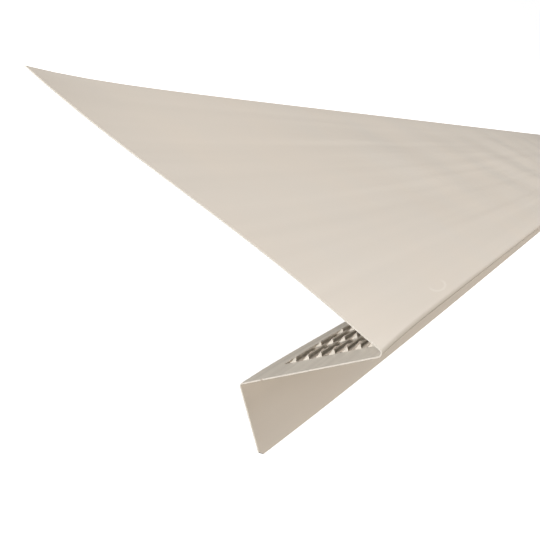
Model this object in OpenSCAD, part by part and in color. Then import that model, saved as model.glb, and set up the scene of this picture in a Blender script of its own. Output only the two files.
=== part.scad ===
// Drip edge starter vent: one strip of painted aluminium sheet, roll formed to a
// roof flange, a sharp nose, a louvred intake panel and a fascia flange.
// It rests on its back edge and on the lower edge of the fascia flange.
// X runs along the strip and Y from the fascia towards the roof.

/* [Strip] */
// Length of the strip
strip_length = 3048; // [600:1:3170]
// Thickness of the sheet
sheet = 0.61; // [0.4:0.01:0.9]

/* [Section] */
// Roof flange, from the tip of the nose to the back edge
roof_flange_w = 209.55; // [150:0.05:260]
// Louvred panel, from the nose to the back of the fascia flange
louvre_panel_w = 66.675; // [60:0.025:80]
// Fascia flange, from the inner face of the louvred panel to its free edge
fascia_flange_w = 34.925; // [20:0.025:50]
// Angle between the roof flange and the louvred panel
nose_angle = 51; // [40:1:70]
// Angle between the louvred panel and the fascia flange
fascia_angle = 90; // [80:1:110]
// Inside radius of the nose bend
nose_radius = 1.5; // [1:0.1:3]
// Inside radius of the fascia bend
fascia_radius = 0.8; // [0.6:0.1:3]

/* [Louvres] */
// Slats side by side in one row
slats = 7; // [3:1:7]
// Distance from slit to slit, which is the width of the flat slat
slit_pitch = 6.35; // [5:0.05:6.4]
// Length of a slit
slit_length = 28.575; // [27.2:0.005:40]
// Plain web between one row and the next
row_web = 6.35; // [5:0.05:15]
// Least plain length left at each end of the strip
least_end = 20; // [20:1:60]
// Distance from the nose to the first slit
first_slit = 10.5; // [8:0.1:12]
// Twist of a slat halfway along it
slat_twist = 40; // [15:1:55]

/* [Near end] */
// Length of the clipped corner along the strip
clip_length = 4; // [1:0.5:10]
// Width of the clipped corner across the fascia flange
clip_width = 2; // [0.5:0.5:6]
// Depth of the nick in the cut edge of the louvred panel
nick_depth = 1.2; // [0.5:0.1:3]
// Width of the nick
nick_width = 1; // [0.5:0.1:3]
// Distance from the back of the fascia flange to the nick
nick_place = 11; // [8:0.5:16]

/* [Hidden] */
$fn = 64;
paint = "#d6cbbc";
cut_past = 1;

nose_outside = nose_radius + sheet;
fascia_outside = fascia_radius + sheet;
nose_bend = 180 - nose_angle;
fascia_bend = 180 - fascia_angle;
roof_flat = roof_flange_w - nose_outside;
panel_flat = louvre_panel_w - nose_outside - fascia_outside;
fascia_flat = fascia_flange_w - fascia_outside;
fascia_centre = [-panel_flat, nose_outside + fascia_radius];

row_pitch = slit_length + row_web;
rows = floor((strip_length - 2 * least_end + row_web) / row_pitch);
field_length = rows * row_pitch - row_web;
field_start = (strip_length - field_length) / 2;
window_start = field_start - row_web;
window_length = field_length + 2 * row_web;
last_slit = nose_outside - first_slit - slats * slit_pitch;

function turned(p, angle) = [
    p.x * cos(angle) - p.y * sin(angle),
    p.x * sin(angle) + p.y * cos(angle)
];
function on_fascia_flange(p) = turned(fascia_centre + turned(p, -fascia_bend), nose_bend);

// The two edges it rests on, and the tilt of the section that puts both on the floor
back_foot = [roof_flat, nose_radius];
front_foot = on_fascia_flange([-fascia_flat, -fascia_outside]);
rest_tilt = atan2(back_foot.y - front_foot.y, back_foot.x - front_foot.x);
floor_level = turned(back_foot, -rest_tilt).y;
back_most = turned([roof_flat, nose_outside], -rest_tilt).x;
front_most = min(-nose_outside, turned(on_fascia_flange([-fascia_flat, -fascia_radius]), -rest_tilt).x);

// The louvred field as one closed skin, from a web before the first row to a web after the last.
// Each row has points at its start, at the middle of its slats and at its end.
slit_points = 2 * (slats + 1);
row_points = 2 * slit_points + 4 * slats;

function slit_place(slit) = last_slit + (slats - slit) * slit_pitch;

function slit_end(slit, along) = [
    for (depth = [0, sheet]) [slit_place(slit), nose_radius + depth, along]
];

// A slat's middle: its edge towards the nose stands up inside and its other edge hangs down
function slat_middle(slat, along) = [
    for (edge = [-1, 1], face = [-1, 1]) let (
        rise = edge * slit_pitch / 2 * sin(slat_twist),
        depth = sheet / 2 + face * sheet / 2 / cos(slat_twist)
    ) [
        slit_place(slat + 0.5) - edge * slit_pitch / 2 * cos(slat_twist),
        nose_radius + rise + depth,
        along
    ]
];

function row_of_points(along) = [
    for (slit = [0 : slats]) each slit_end(slit, along),
    for (slat = [0 : slats - 1]) each slat_middle(slat, along + slit_length / 2),
    for (slit = [0 : slats]) each slit_end(slit, along + slit_length)
];

function quad(a, b, c, d) = [[b, c, d], [b, d, a]];

// Skin between two places along a strip of sheet, from the first of its four points at each.
// Both faces fold along the same diagonal, so a twisted stretch keeps its thickness.
function sheet_skin(a, b, edges) = [
    each quad(a, a + 2, b + 2, b),
    each quad(b + 3, a + 3, a + 1, b + 1),
    if (edges[0]) each quad(a + 1, a, b, b + 1),
    if (edges[1]) each quad(b + 3, b + 2, a + 2, a + 3)
];

function slat_faces(row, slat) = let (
    start = slit_points + row * row_points + 2 * slat,
    middle = start + slit_points + 2 * slat,
    end = start + row_points - slit_points
) [
    each sheet_skin(start, middle, [true, true]),
    each sheet_skin(middle, end, [true, true])
];

function web_faces(web, slat) = let (
    start = web * row_points + 2 * slat
) sheet_skin(start, start + slit_points, [slat == 0, slat == slats - 1]);

function cap_faces(slat) = let (
    start = 2 * slat,
    end = start + slit_points + rows * row_points
) [
    each quad(start + 1, start + 3, start + 2, start),
    each quad(end, end + 2, end + 3, end + 1)
];

module louvre_field() {
    polyhedron(
        points = [
            for (slit = [0 : slats]) each slit_end(slit, window_start),
            for (row = [0 : rows - 1]) each row_of_points(field_start + row * row_pitch),
            for (slit = [0 : slats]) each slit_end(slit, window_start + window_length)
        ],
        faces = [
            for (row = [0 : rows - 1], slat = [0 : slats - 1]) each slat_faces(row, slat),
            for (web = [0 : rows], slat = [0 : slats - 1]) each web_faces(web, slat),
            for (slat = [0 : slats - 1]) each cap_faces(slat)
        ]
    );
}

// Every stretch is made a little long, and the whole strip is cut to length at the end
module flat(width) translate([0, 0, -cut_past]) cube([width, sheet, strip_length + 2 * cut_past]);

module bend(radius, angle)
    rotate_extrude(angle = angle)
        translate([radius, -cut_past])
            square([sheet, strip_length + 2 * cut_past]);

module cut_to_length() {
    reach = roof_flange_w + louvre_panel_w + fascia_flange_w;
    intersection() {
        children();
        translate([-reach, -reach, 0]) cube([2 * reach, 2 * reach, strip_length]);
    }
}

module roof_flange() translate([0, nose_radius, 0]) flat(roof_flat);

module nose() rotate([0, 0, 90]) bend(nose_radius, nose_bend);

module nick() {
    translate([nose_outside - louvre_panel_w + nick_place, nose_radius - cut_past, 0])
        rotate([-90, 0, 0])
            linear_extrude(sheet + 2 * cut_past)
                polygon([[-nick_width / 2, 2 * cut_past], [-nick_width / 2, 0], [0, -nick_depth],
                    [nick_width / 2, 0], [nick_width / 2, 2 * cut_past]]);
}

module louvre_panel() {
    difference() {
        translate([-panel_flat, nose_radius, 0]) flat(panel_flat);
        translate([last_slit, nose_radius - cut_past, window_start])
            cube([slats * slit_pitch, sheet + 2 * cut_past, window_length]);
        nick();
    }
    louvre_field();
}

module fascia_bend() rotate([0, 0, 270 - fascia_bend]) bend(fascia_radius, fascia_bend);

module fascia_flange() {
    rotate([0, 0, -fascia_bend])
        difference() {
            translate([-fascia_flat, -fascia_outside, 0]) flat(fascia_flat);
            translate([-fascia_flat, -fascia_outside - cut_past, 0])
                rotate([-90, 0, 0])
                    linear_extrude(sheet + 2 * cut_past)
                        polygon([[-cut_past, 2 * cut_past], [clip_width, 2 * cut_past], [clip_width, 0],
                            [0, -clip_length], [-cut_past, -clip_length]]);
        }
}

module vent_strip() {
    color(paint)
        rotate([90, 0, 90])
            translate([-(front_most + back_most) / 2, -floor_level, -strip_length / 2])
                rotate([0, 0, -rest_tilt]) cut_to_length() {
                    roof_flange();
                    nose();
                    rotate([0, 0, nose_bend]) {
                        louvre_panel();
                        translate([fascia_centre.x, fascia_centre.y, 0]) {
                            fascia_bend();
                            fascia_flange();
                        }
                    }
                }
}

vent_strip();
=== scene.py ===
import bpy
import bmesh
from math import atan2, cos, exp, pi, radians, sin
from mathutils import Matrix, Vector


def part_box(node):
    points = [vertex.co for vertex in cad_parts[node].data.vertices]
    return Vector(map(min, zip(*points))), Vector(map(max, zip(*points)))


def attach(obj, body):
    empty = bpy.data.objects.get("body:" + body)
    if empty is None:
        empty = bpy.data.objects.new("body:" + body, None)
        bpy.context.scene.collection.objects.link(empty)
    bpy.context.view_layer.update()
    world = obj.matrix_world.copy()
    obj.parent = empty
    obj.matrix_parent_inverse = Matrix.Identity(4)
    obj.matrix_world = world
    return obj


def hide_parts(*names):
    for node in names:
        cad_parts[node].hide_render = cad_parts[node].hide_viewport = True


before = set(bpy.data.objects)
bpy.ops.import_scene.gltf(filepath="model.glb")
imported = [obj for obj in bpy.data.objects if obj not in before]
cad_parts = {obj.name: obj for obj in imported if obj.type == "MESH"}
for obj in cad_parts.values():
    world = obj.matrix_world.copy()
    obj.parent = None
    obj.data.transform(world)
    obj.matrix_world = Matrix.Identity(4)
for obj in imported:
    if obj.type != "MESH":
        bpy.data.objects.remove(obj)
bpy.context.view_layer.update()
print("packed model loaded")


def linearColor(hexColor):
    # an sRGB hex value as the linear colour that a shader takes
    parts = [int(hexColor[i:i + 2], 16) / 255 for i in (1, 3, 5)]
    return [p / 12.92 if p <= 0.04045 else ((p + 0.055) / 1.055) ** 2.4 for p in parts] + [1.0]


def addNode(tree, kind, inputs=None, **settings):
    # one node with its settings, and its inputs linked or filled in
    node = tree.nodes.new(kind)
    for name, value in settings.items():
        setattr(node, name, value)
    for name, value in (inputs or {}).items():
        if isinstance(value, bpy.types.NodeSocket):
            tree.links.new(value, node.inputs[name])
        else:
            node.inputs[name].default_value = value
    return node


def aimed(place, aim):
    # standing at one point and looking or shining at another
    turn = (Vector(aim) - Vector(place)).to_track_quat("-Z", "Y")
    return Matrix.Translation(place) @ turn.to_matrix().to_4x4()


# Camera

view = {
    "place": (-1.87194, -0.08032, 0.19844),
    "aim": (-1.46998, -0.03177, 0.03),
    "roll": 54.215,           # degrees, the photo is tilted a long way
    "lens": 60,
    "nearest": 0.01,          # metres, nothing nearer or farther than these is drawn
    "farthest": 50,
}


def makeCamera():
    camera = bpy.data.objects.new("camera", bpy.data.cameras.new("camera"))
    camera.data.lens = view["lens"]
    camera.data.clip_start = view["nearest"]
    camera.data.clip_end = view["farthest"]
    camera.matrix_world = aimed(view["place"], view["aim"]) @ Matrix.Rotation(radians(view["roll"]), 4, "Z")
    bpy.context.scene.collection.objects.link(camera)
    bpy.context.scene.camera = camera


makeCamera()
print("camera placed")


# Floor and lights

room = {
    "floorColor": "#FFFFFF",
    "floorShade": "#A9A8A7",
    "floorRoughness": 0.9,
    "floorGlow": 1.0,         # white acrylic lit from below, so hardly a shadow is left
    "floorSize": 300.0,
    "backdropColor": "#FFFFFF",
    "lamps": [
        # name, colour, place, aim, width, height, watts, whether it glares in reflections
        ("cameraSideSoftbox", "#FFFEFD", (-4.11, 1.10, 0.30), (-1.3, 0.0, 0.05), 1.6, 0.55, 196, False),
        ("farEndSoftbox", "#F7FBFF", (0.60, 0.4, 2.60), (-0.8, 0.0, 0.03), 2.0, 1.2, 53, True),
        ("fasciaSideSoftbox", "#FFF8EE", (-0.6, -1.65, 2.40), (-0.8, -0.05, 0.0), 3.0, 1.0, 70, True),
        ("underFloorLight", "#FFFDFA", (0.0, -0.4, -3.0), (0.0, 0.0, 0.0), 3.0, 1.5, 26, False),
    ],
}


def makeFloor():
    bm = bmesh.new()
    bmesh.ops.create_grid(bm, x_segments=1, y_segments=1, size=room["floorSize"] / 2)
    mesh = bpy.data.meshes.new("floor")
    bm.to_mesh(mesh)
    bm.free()
    floor = bpy.data.objects.new("floor", mesh)
    bpy.context.scene.collection.objects.link(floor)
    # it looks white but lights nothing itself, and lets the lamp under it through
    floor.visible_diffuse = floor.visible_glossy = floor.visible_shadow = False
    acrylic = bpy.data.materials.new("backlitWhiteAcrylic")
    acrylic.use_nodes = True
    shader = acrylic.node_tree.nodes["Principled BSDF"]
    shader.inputs["Base Color"].default_value = linearColor(room["floorShade"])
    shader.inputs["Roughness"].default_value = room["floorRoughness"]
    shader.inputs["Emission Color"].default_value = linearColor(room["floorColor"])
    shader.inputs["Emission Strength"].default_value = room["floorGlow"]
    mesh.materials.append(acrylic)


def makeBackdrop():
    # a white world that only the camera sees
    world = bpy.data.worlds.new("studio")
    world.use_nodes = True
    world.node_tree.nodes["Background"].inputs["Color"].default_value = linearColor(room["backdropColor"])
    world.cycles_visibility.diffuse = False
    world.cycles_visibility.glossy = False
    bpy.context.scene.world = world
    bpy.context.scene.view_settings.view_transform = "Standard"


def makeLamps():
    for name, color, place, aim, width, height, watts, glares in room["lamps"]:
        lamp = bpy.data.lights.new(name, "AREA")
        lamp.color = linearColor(color)[:3]
        lamp.shape = "RECTANGLE"
        lamp.size = width
        lamp.size_y = height
        lamp.energy = watts
        softbox = bpy.data.objects.new(name, lamp)
        softbox.visible_glossy = glares
        softbox.matrix_world = aimed(place, aim)
        bpy.context.scene.collection.objects.link(softbox)


makeFloor()
makeBackdrop()
makeLamps()
print("floor and lights made")


# What the three finishes of the sheet share

def startFinish(name):
    # a new material, its nodes and shader, and the place on the strip that its patterns go by
    material = bpy.data.materials.new(name)
    material.use_nodes = True
    tree = material.node_tree
    place = addNode(tree, "ShaderNodeTexCoord").outputs["Object"]
    return material, tree, tree.nodes["Principled BSDF"], place


def perMetre(size):
    # how often a pattern of this size in mm comes in a metre
    return 1000 / size


def streaksAlongStrip(tree, place, finish):
    across = perMetre(finish["streakWidth"])
    drawnOut = addNode(tree, "ShaderNodeMapping",
                       {"Vector": place, "Scale": (perMetre(finish["streakLength"]), across, across)})
    return addNode(tree, "ShaderNodeTexNoise", {
        "Vector": drawnOut.outputs["Vector"], "Scale": 1.0, "Detail": finish["streakDetail"],
    }).outputs["Fac"]


def coverShader(tree, shader, color, gloss, grain, grainHeight):
    # colour, roughness and a relief of so many mm onto the shader
    relief = addNode(tree, "ShaderNodeBump",
                     {"Height": grain, "Distance": grainHeight / 1000, "Strength": 1.0})
    tree.links.new(color, shader.inputs["Base Color"])
    tree.links.new(gloss.outputs["Result"], shader.inputs["Roughness"])
    tree.links.new(relief.outputs["Normal"], shader.inputs["Normal"])


# Coil-coated polyester paint: baked on the flat coil before it is formed, so it is even and satin,
# with a shallow orange peel and faint streaks along the strip from the coating roller

coilPaint = {
    "ior": 1.5,
    "warmPatch": "#DACFC2",
    "coolPatch": "#D4CDC4",
    "patchSize": 90,          # mm
    "patchDetail": 2.0,
    "streakLength": 900,      # mm
    "streakWidth": 7,         # mm
    "streakDetail": 3.0,
    "streakSpread": (0.3, 0.7),       # nearly all of the noise lies between these
    "streakTone": (0.988, 1.012),
    "peelSize": 3.0,          # mm, coarser than the real 1 to 2 mm, so it shows
    "peelDetail": 1.0,
    "peelHeight": 0.012,      # mm
    "roughness": (0.41, 0.46),
    "scuffPlace": (-1.382, -0.0823, 0.0720),
    "scuffReach": (0.0155, 0.0036, 1.0),
    "scuffLine": 0.28,        # half the width of its line, as a share of its reach
    "scuffEnds": (-0.3, 0.7),         # it fades out between these shares of its reach across the strip
    "scuffTone": 0.26,
    "scuffColor": "#F4EFE8",
}


def crescentScuff(tree, place):
    # how strong a long crescent scuff near the nose is, where something round has rubbed the coating
    fromScuff = addNode(tree, "ShaderNodeVectorMath", {0: place, 1: coilPaint["scuffPlace"]},
                        operation="SUBTRACT")
    inReaches = addNode(tree, "ShaderNodeVectorMath",
                        {0: fromScuff.outputs["Vector"], 1: coilPaint["scuffReach"]}, operation="DIVIDE")
    reach = addNode(tree, "ShaderNodeVectorMath", {0: inReaches.outputs["Vector"]}, operation="LENGTH")
    offLine = addNode(tree, "ShaderNodeMath", {0: reach.outputs["Value"], 1: 1.0}, operation="SUBTRACT")
    fromLine = addNode(tree, "ShaderNodeMath", {0: offLine.outputs[0]}, operation="ABSOLUTE")
    onLine = addNode(tree, "ShaderNodeMapRange", {
        "Value": fromLine.outputs[0], "From Max": coilPaint["scuffLine"],
        "To Min": coilPaint["scuffTone"], "To Max": 0.0,
    }, interpolation_type="SMOOTHSTEP")
    side = addNode(tree, "ShaderNodeSeparateXYZ", {"Vector": inReaches.outputs["Vector"]})
    openSide = addNode(tree, "ShaderNodeMapRange", {
        "Value": side.outputs["Y"], "From Min": coilPaint["scuffEnds"][0],
        "From Max": coilPaint["scuffEnds"][1], "To Min": 1.0, "To Max": 0.0,
    }, interpolation_type="SMOOTHSTEP")
    return addNode(tree, "ShaderNodeMath", {0: onLine.outputs["Result"], 1: openSide.outputs["Result"]},
                   operation="MULTIPLY").outputs[0]


def coilCoatedPolyesterPaint():
    material, tree, shader, place = startFinish("coilCoatedPolyesterPaint")
    shader.inputs["IOR"].default_value = coilPaint["ior"]
    patches = addNode(tree, "ShaderNodeTexNoise", {
        "Vector": place, "Scale": perMetre(coilPaint["patchSize"]), "Detail": coilPaint["patchDetail"],
    })
    streaks = streaksAlongStrip(tree, place, coilPaint)
    peel = addNode(tree, "ShaderNodeTexNoise", {
        "Vector": place, "Scale": perMetre(coilPaint["peelSize"]), "Detail": coilPaint["peelDetail"],
    })
    tone = addNode(tree, "ShaderNodeMapRange", {
        "Value": streaks, "From Min": coilPaint["streakSpread"][0], "From Max": coilPaint["streakSpread"][1],
        "To Min": coilPaint["streakTone"][0], "To Max": coilPaint["streakTone"][1],
    })
    patchColor = addNode(tree, "ShaderNodeMixRGB", {
        "Fac": patches.outputs["Fac"], "Color1": linearColor(coilPaint["coolPatch"]),
        "Color2": linearColor(coilPaint["warmPatch"]),
    })
    streaked = addNode(tree, "ShaderNodeVectorMath",
                       {0: patchColor.outputs["Color"], "Scale": tone.outputs["Result"]}, operation="SCALE")
    scuffed = addNode(tree, "ShaderNodeMixRGB", {
        "Fac": crescentScuff(tree, place), "Color1": streaked.outputs["Vector"],
        "Color2": linearColor(coilPaint["scuffColor"]),
    })
    gloss = addNode(tree, "ShaderNodeMapRange", {
        "Value": streaks, "From Min": coilPaint["streakSpread"][0], "From Max": coilPaint["streakSpread"][1],
        "To Min": coilPaint["roughness"][0], "To Max": coilPaint["roughness"][1],
    })
    coverShader(tree, shader, scuffed.outputs["Color"], gloss, peel.outputs["Fac"], coilPaint["peelHeight"])
    return material


# Reverse wash coat: a thin clear-grey backing enamel, so the back is cooler and greyer than the
# painted face, streaky along the strip, and a little of the metal's brightness comes through

washCoat = {
    "thinTone": "#D3CCC1",
    "thickTone": "#C3BCB1",
    "streakLength": 500,      # mm
    "streakWidth": 4,         # mm
    "streakDetail": 4.0,
    "streakSpread": (0.32, 0.68),
    "speckSize": 1.2,         # mm
    "speckDetail": 2.0,
    "speckHeight": 0.006,     # mm
    "speckSpread": (0.3, 0.7),
    "roughness": (0.42, 0.56),
    "metallic": 0.12,
}


def reverseWashCoat():
    material, tree, shader, place = startFinish("reverseWashCoat")
    shader.inputs["Metallic"].default_value = washCoat["metallic"]
    specks = addNode(tree, "ShaderNodeTexNoise", {
        "Vector": place, "Scale": perMetre(washCoat["speckSize"]), "Detail": washCoat["speckDetail"],
    })
    thickness = addNode(tree, "ShaderNodeMapRange", {
        "Value": streaksAlongStrip(tree, place, washCoat),
        "From Min": washCoat["streakSpread"][0], "From Max": washCoat["streakSpread"][1],
    })
    coat = addNode(tree, "ShaderNodeMixRGB", {
        "Fac": thickness.outputs["Result"], "Color1": linearColor(washCoat["thinTone"]),
        "Color2": linearColor(washCoat["thickTone"]),
    })
    gloss = addNode(tree, "ShaderNodeMapRange", {
        "Value": specks.outputs["Fac"],
        "From Min": washCoat["speckSpread"][0], "From Max": washCoat["speckSpread"][1],
        "To Min": washCoat["roughness"][0], "To Max": washCoat["roughness"][1],
    })
    coverShader(tree, shader, coat.outputs["Color"], gloss, specks.outputs["Fac"], washCoat["speckHeight"])
    return material


# Sheared aluminium edge: bare metal that the slitter and the lancing punches have burnished,
# so the cut shows as a thin bright line with a duller torn band

shearedEdge = {
    "bright": "#F3ECE1",
    "dull": "#D9D2C7",
    "tearLength": 0.5,        # mm along the cut
    "tearDetail": 2.0,
    "tearSpread": (0.35, 0.65),
    "tearHeight": 0.02,       # mm
    "roughness": (0.6, 0.85),
    "metallic": 0.5,          # smeared with paint by the shear
}


def shearedAluminiumEdge():
    material, tree, shader, place = startFinish("shearedAluminiumEdge")
    shader.inputs["Metallic"].default_value = shearedEdge["metallic"]
    tears = addNode(tree, "ShaderNodeTexNoise", {
        "Vector": place, "Scale": perMetre(shearedEdge["tearLength"]), "Detail": shearedEdge["tearDetail"],
    })
    band = addNode(tree, "ShaderNodeMapRange", {
        "Value": tears.outputs["Fac"],
        "From Min": shearedEdge["tearSpread"][0], "From Max": shearedEdge["tearSpread"][1],
    })
    cut = addNode(tree, "ShaderNodeMixRGB", {
        "Fac": band.outputs["Result"], "Color1": linearColor(shearedEdge["bright"]),
        "Color2": linearColor(shearedEdge["dull"]),
    })
    gloss = addNode(tree, "ShaderNodeMapRange", {
        "Value": band.outputs["Result"],
        "To Min": shearedEdge["roughness"][0], "To Max": shearedEdge["roughness"][1],
    })
    coverShader(tree, shader, cut.outputs["Color"], gloss, tears.outputs["Fac"], shearedEdge["tearHeight"])
    return material


finishes = [coilCoatedPolyesterPaint(), reverseWashCoat(), shearedAluminiumEdge()]
print("finishes made")


# Vent strip, in metres and degrees

strip = {
    "length": 3.048,
    "sheet": 0.00061,
    "roofFlange": 0.20955,
    "louvrePanel": 0.066675,
    "fasciaFlange": 0.034925,
    "noseAngle": 51,
    "fasciaAngle": 90,
    "noseRadius": 0.0015,
    "fasciaRadius": 0.0008,
    "noseSteps": 12,
    "fasciaSteps": 8,
    "roofColumns": 16,
    "flangeColumns": 4,
    "creaseAngle": 16,        # a sharper turn than this shows as a crease

    # louvres
    "slats": 7,
    "rows": 86,
    "slitPitch": 0.00635,
    "slitLength": 0.028575,
    "rowWeb": 0.00635,
    "firstSlit": 0.0105,      # from the nose
    "twist": 40,
    "twistLength": 0.003,     # the slat turns to its full twist this close to its end
    "twistSteps": 3,

    # marks at the near end
    "endBand": 0.006,         # the first station, past the nick and the clip
    "clipLength": 0.004,
    "clipWidth": 0.002,
    "nickDepth": 0.0012,
    "nickWidth": 0.001,
    "nickPlace": 0.011,       # from the back of the fascia flange

    # both bends have sprung shut a little at the free end; a reach is how soon such a form dies away
    "noseSpring": 2.0,
    "fasciaSpring": 0.87,
    "springReach": 0.15,
    # handling has curled the roof flange's corner up
    "cornerLift": 0.0058,
    "cornerPower": 3,
    "cornerReach": 0.058,
    # and the cut end of its flat has crowned, most at this share of its width
    "crown": 0.0024,
    "crownPlace": 0.375,
    "crownPowers": (1.5, 2.5),
    "crownReach": 0.16,
    # the shear has pushed the panel's cut end outwards, and this share of the roof flange's width
    "flare": 0.0017,
    "flareOverRoof": 0.3,
    "flarePower": 2,
    "flareReach": 0.035,

    # oil canning of the wide thin roof flange, in trains of waves: strength, wavelength, lean, phase
    "waveHeight": 0.0009,
    "waveTrains": [(1.0, 0.26, 1.1, 0.2), (0.8, 0.43, 3.2, 1.9)],
    "waveStart": 0.25,
    "waveGrowth": 0.4,
}

samePlace = 1e-6              # closer than this is the same place
stationDrift = 1e-4           # the most that rounding may move a row's middle, 3 m along the strip
weldReach = 5e-6              # slats and webs are joined within this

noseOutside = strip["noseRadius"] + strip["sheet"]
fasciaOutside = strip["fasciaRadius"] + strip["sheet"]
noseBend = radians(180 - strip["noseAngle"])
fasciaBend = radians(180 - strip["fasciaAngle"])
roofFlat = strip["roofFlange"] - noseOutside
panelFlat = strip["louvrePanel"] - noseOutside - fasciaOutside
fasciaFlat = strip["fasciaFlange"] - fasciaOutside
fasciaCentre = Vector((0, -panelFlat, noseOutside + strip["fasciaRadius"]))
firstSlit = noseOutside - strip["firstSlit"]
lastSlit = firstSlit - strip["slats"] * strip["slitPitch"]
rowPitch = strip["slitLength"] + strip["rowWeb"]
fieldStart = (strip["length"] - strip["rows"] * rowPitch + strip["rowWeb"]) / 2


def turnAlong(angle):
    # a turn about the length of the strip
    return Matrix.Rotation(angle, 3, "X")


# the turn that lays the section on its back edge and on the lower edge of the fascia flange
backFoot = turnAlong(-noseBend) @ Vector((0, roofFlat, strip["noseRadius"]))
frontFoot = fasciaCentre + turnAlong(-fasciaBend) @ Vector((0, -fasciaFlat, -fasciaOutside))
layTurn = turnAlong(-atan2(backFoot.z - frontFoot.z, backFoot.y - frontFoot.y))


def vertsIn(geom):
    return [g for g in geom if isinstance(g, bmesh.types.BMVert)]


def addFlat(bm, tip, move, columns):
    # one flat of the section, from the vertex tip
    for _ in range(columns):
        tip = bmesh.ops.extrude_vert_indiv(bm, verts=[tip])["verts"][0]
        bmesh.ops.translate(bm, verts=[tip], vec=move / columns)
    return tip


def addBend(bm, tip, centre, angle, steps):
    spun = bmesh.ops.spin(bm, geom=[tip], cent=centre, axis=(1, 0, 0), dvec=(0, 0, 0), angle=angle,
                          steps=steps, use_merge=False, use_normal_flip=False, use_duplicate=False)
    return vertsIn(spun["geom_last"])[0]


def drawSection(bm):
    # the painted face of the sheet, with the louvred panel level and its painted face up;
    # each slat is two columns wide, so its ends share their middle vertex with the webs
    nose = bm.verts.new((0, 0, noseOutside))
    roof = addBend(bm, nose, (0, 0, 0), -noseBend, strip["noseSteps"])
    addFlat(bm, roof, turnAlong(-noseBend) @ Vector((0, roofFlat, 0)), strip["roofColumns"])
    tip = addFlat(bm, nose, Vector((0, firstSlit, 0)), 1)
    tip = addFlat(bm, tip, Vector((0, lastSlit - firstSlit, 0)), 2 * strip["slats"])
    tip = addFlat(bm, tip, Vector((0, -panelFlat - lastSlit, 0)), 1)
    tip = addBend(bm, tip, fasciaCentre, -fasciaBend, strip["fasciaSteps"])
    addFlat(bm, tip, turnAlong(-fasciaBend) @ Vector((0, -fasciaFlat, 0)), strip["flangeColumns"])


def rollForm(bm):
    # draws the section out along the strip, with a station at each end of every row of slits
    stations = [strip["endBand"], fieldStart]
    for row in range(strip["rows"]):
        stations += [fieldStart + row * rowPitch + strip["slitLength"], fieldStart + (row + 1) * rowPitch]
    stations[-1] = strip["length"]
    edges, reached = list(bm.edges), 0
    for station in stations:
        drawn = bmesh.ops.extrude_edge_only(bm, edges=edges)["geom"]
        bmesh.ops.translate(bm, verts=vertsIn(drawn), vec=(station - reached, 0, 0))
        edges = [g for g in drawn if isinstance(g, bmesh.types.BMEdge)
                 and abs(g.verts[0].co.x - g.verts[1].co.x) < samePlace]
        reached = station


def takeOutCells(bm):
    # the flat cells between the slits, where the slats go
    cells = []
    for face in bm.faces:
        middle = face.calc_center_median()
        along = (middle.x - fieldStart) % rowPitch
        if abs(middle.z - noseOutside) < samePlace and lastSlit < middle.y < firstSlit \
                and abs(along - strip["slitLength"] / 2) < stationDrift:
            cells.append(face)
    bmesh.ops.delete(bm, geom=cells, context="FACES")


def lanceSlats(bm):
    # twists one slat out of a small grid, and repeats it across the panel and along the strip
    places = [strip["twistLength"] * i / strip["twistSteps"] for i in range(strip["twistSteps"] + 1)]
    places += [strip["slitLength"] - place for place in reversed(places)]
    slat = bmesh.ops.create_grid(bm, x_segments=len(places) - 1, y_segments=2, size=0.5)["verts"]
    for vert in slat:
        place = places[round((vert.co.x + 0.5) * (len(places) - 1))]
        turned = min(place, strip["slitLength"] - place) / strip["twistLength"]
        twist = radians(strip["twist"]) * min(1, turned)
        across = vert.co.y * strip["slitPitch"]
        vert.co = (fieldStart + place, firstSlit - strip["slitPitch"] / 2 + across * cos(twist),
                   noseOutside - across * sin(twist))
    faces = list(dict.fromkeys(face for vert in slat for face in vert.link_faces))
    row = list(faces)
    for i in range(1, strip["slats"]):
        copy = bmesh.ops.duplicate(bm, geom=faces)["geom"]
        bmesh.ops.translate(bm, verts=vertsIn(copy), vec=(0, -i * strip["slitPitch"], 0))
        row += [g for g in copy if isinstance(g, bmesh.types.BMFace)]
    for i in range(1, strip["rows"]):
        copy = bmesh.ops.duplicate(bm, geom=row)["geom"]
        bmesh.ops.translate(bm, verts=vertsIn(copy), vec=(i * rowPitch, 0, 0))
    bmesh.ops.remove_doubles(bm, verts=bm.verts, dist=weldReach)


def cutEndFaces(bm, chosen, place, normal, takeOff):
    # cuts the faces of the first station that are chosen by their middles along one plane
    faces = []
    for face in bm.faces:
        middle = face.calc_center_median()
        if middle.x < strip["endBand"] and chosen(middle):
            faces.append(face)
    edges = dict.fromkeys(edge for face in faces for edge in face.edges)
    verts = dict.fromkeys(vert for face in faces for vert in face.verts)
    bmesh.ops.bisect_plane(bm, geom=faces + list(edges) + list(verts), dist=samePlace, plane_co=place,
                           plane_no=normal, clear_outer=takeOff)


def inPanel(point):
    return abs(point.z - noseOutside) < samePlace


def inFasciaFlange(point):
    return point.z > fasciaCentre.z and abs(point.y - fasciaCentre.y + strip["fasciaRadius"]) < samePlace


def cutNearEnd(bm):
    # the small nick in the panel's cut edge, and the clipped corner of the fascia flange
    nick = noseOutside - strip["louvrePanel"] + strip["nickPlace"]
    for place in (nick - strip["nickWidth"] / 2, nick, nick + strip["nickWidth"] / 2):
        cutEndFaces(bm, inPanel, (0, place, 0), (0, 1, 0), False)
    for vert in bm.verts:
        if vert.co.x < samePlace and abs(vert.co.y - nick) < samePlace and inPanel(vert.co):
            vert.co.x = strip["nickDepth"]
    cutEndFaces(bm, inFasciaFlange, (strip["clipLength"], 0, fasciaCentre.z + fasciaFlat),
                (-strip["clipWidth"], 0, strip["clipLength"]), True)


def acrossRoof(vert):
    # a vertex seen square to the roof flange: how far from the nose, and how high
    return turnAlong(noseBend) @ Vector((0, vert.co.y, vert.co.z))


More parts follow.
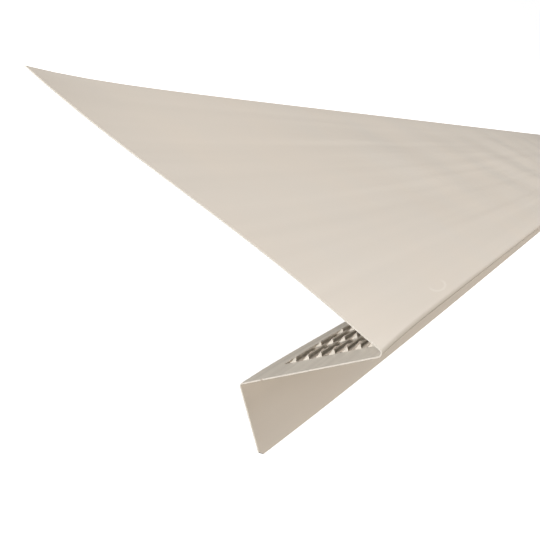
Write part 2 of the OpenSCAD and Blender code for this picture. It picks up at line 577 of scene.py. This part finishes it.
def relaxRoofFlange(bm):
    # curls the near corner up, crowns the cut end and gives the wide flat its slow waves, all of it
    # straight up, so nothing leaves the strip's footprint
    up = layTurn.inverted() @ Vector((0, 0, 1))
    peak = strip["crownPlace"]
    risePower, fallPower = strip["crownPowers"]
    for vert in bm.verts:
        point = acrossRoof(vert)
        if point.y < 0 or point.z < 0:
            continue
        share = point.y / roofFlat
        rise = strip["cornerLift"] * share ** strip["cornerPower"] * exp(-vert.co.x / strip["cornerReach"])
        crown = (share / peak) ** risePower * (max(0, 1 - share) / (1 - peak)) ** fallPower
        rise += strip["crown"] * crown * exp(-vert.co.x / strip["crownReach"])
        grown = 1 - exp(-max(0, vert.co.x - strip["waveStart"]) / strip["waveGrowth"])
        for strength, length, lean, phase in strip["waveTrains"]:
            rise += strip["waveHeight"] * strength * grown * sin(pi * min(1, share)) \
                * sin(2 * pi * (vert.co.x + lean * point.y) / length + phase)
        vert.co += up * rise


def springBends(bm):
    # turns the panel and the fascia flange in a little towards the free end of the strip
    for vert in bm.verts:
        roofPoint = acrossRoof(vert)
        if roofPoint.y > -samePlace and roofPoint.z > 0:
            continue
        fade = exp(-vert.co.x / strip["springReach"])
        along, point = vert.co.x, Vector((0, vert.co.y, vert.co.z))
        if point.y < fasciaCentre.y:
            bent = min(1, atan2(fasciaCentre.y - point.y, fasciaCentre.z - point.z) / fasciaBend)
            spring = turnAlong(-radians(strip["fasciaSpring"]) * fade * bent)
            point = fasciaCentre + spring @ (point - fasciaCentre)
        bent = 1 - max(0, atan2(point.y, point.z)) / noseBend
        point = turnAlong(radians(strip["noseSpring"]) * fade * bent) @ point
        vert.co = (along, point.y, point.z)


def flareCutEnd(bm):
    # pushes the panel's cut end outwards and the nose with it, while both flanges' far edges stay put
    for vert in bm.verts:
        point = acrossRoof(vert)
        if point.z > 0:
            hold = max(0, point.y) / roofFlat / strip["flareOverRoof"]
        else:
            hold = max(0, vert.co.z - fasciaCentre.z) / fasciaFlat
        flare = strip["flare"] * max(0, 1 - hold) ** strip["flarePower"]
        vert.co.z += flare * exp(-vert.co.x / strip["flareReach"])


def layDown(bm, low, high):
    # onto its back edge and the lower edge of the fascia flange, in the CAD node's own box
    backTop = turnAlong(-noseBend) @ Vector((0, roofFlat, noseOutside))
    bmesh.ops.rotate(bm, verts=bm.verts, cent=(0, 0, 0), matrix=layTurn)
    bmesh.ops.translate(bm, verts=bm.verts,
                        vec=(low.x, high.y - (layTurn @ backTop).y, low.z - (layTurn @ backFoot).z))


def formSheet(low, high):
    # the painted face as an open mesh, painted side out
    bm = bmesh.new()
    drawSection(bm)
    rollForm(bm)
    print("section rolled out:", len(bm.faces), "faces")
    takeOutCells(bm)
    lanceSlats(bm)
    cutNearEnd(bm)
    print("slats lanced:", len(bm.faces), "faces")
    bmesh.ops.recalc_face_normals(bm, faces=bm.faces)
    relaxRoofFlange(bm)
    springBends(bm)
    flareCutEnd(bm)
    layDown(bm, low, high)
    roofFace = max(bm.faces, key=lambda face: face.calc_center_median().y)
    if roofFace.normal.z < 0:
        bmesh.ops.reverse_faces(bm, faces=bm.faces)
    mesh = bpy.data.meshes.new("ventStrip")
    bm.to_mesh(mesh)
    bm.free()
    return mesh


def makeVentStrip():
    low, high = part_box("vent_strip")
    piece = bpy.data.objects.new("ventStrip", formSheet(low, high))
    bpy.context.scene.collection.objects.link(piece)
    for material in finishes:
        piece.data.materials.append(material)
    wall = piece.modifiers.new("sheetThickness", "SOLIDIFY")
    wall.thickness = strip["sheet"]
    wall.offset = -1
    wall.use_even_offset = True
    wall.material_offset = 1       # the wash coat on the back
    wall.material_offset_rim = 2   # and the sheared edge round it
    solid = bpy.data.meshes.new_from_object(piece.evaluated_get(bpy.context.evaluated_depsgraph_get()))
    piece.modifiers.clear()
    piece.data = solid
    for vert in solid.vertices:
        # the thickened corners stand a few hundredths of a millimetre past the CAD node's box
        vert.co = [min(max(place, least), most) for place, least, most in zip(vert.co, low, high)]
    solid.set_sharp_from_angle(angle=radians(strip["creaseAngle"]))
    solid.polygons.foreach_set("use_smooth", [True] * len(solid.polygons))
    return piece


ventStrip = makeVentStrip()
print("vent strip made:", len(ventStrip.data.polygons), "faces")

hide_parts("vent_strip")
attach(ventStrip, "root")
